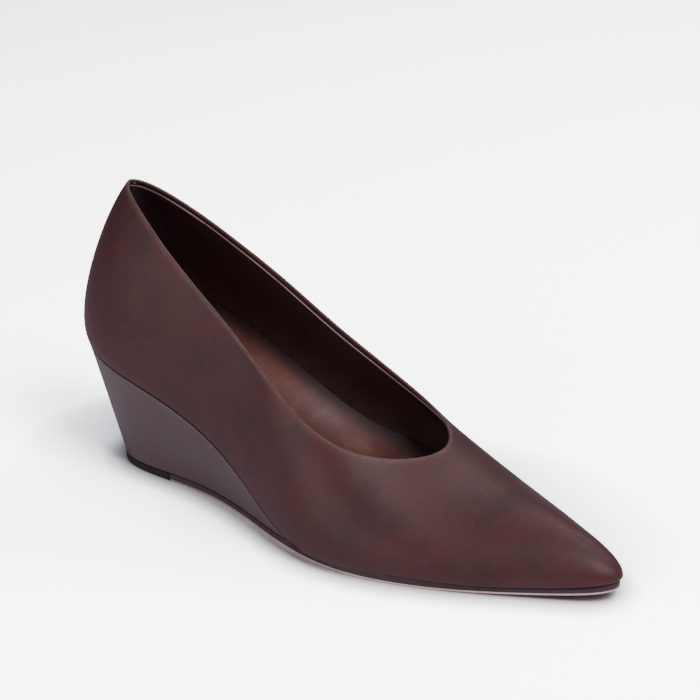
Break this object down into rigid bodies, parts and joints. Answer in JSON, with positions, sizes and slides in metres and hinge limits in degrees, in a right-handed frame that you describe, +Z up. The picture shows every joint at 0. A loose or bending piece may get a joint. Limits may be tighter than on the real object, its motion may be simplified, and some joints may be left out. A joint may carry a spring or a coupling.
{
  "type": "wedge pump",
  "caption": "Closed wedge pump in smooth burgundy-brown leather, pointed almond toe, deep round topline and a covered heel wedge.",
  "frame": {"origin": "middle of the heel tap's flat bottom, on the floor", "axes": "+X from heel to toe, +Y to the shoe's left (the inner side of this right shoe), +Z up"},
  "size_m": [0.2515, 0.0854, 0.1179],
  "materials": {
    "upper": "smooth semi-matte grain leather",
    "insole": "glossy lining leather",
    "wedge": "smooth semi-matte grain leather",
    "outsole": "sanded sole leather with a dark painted edge",
    "toplift": "matte rubber"
  },
  "bodies": {
    "root": {"upper": "upper", "insole": "insole", "wedge": "wedge", "outsole": "outsole", "toplift": "toplift"}
  },
  "joints": []
}
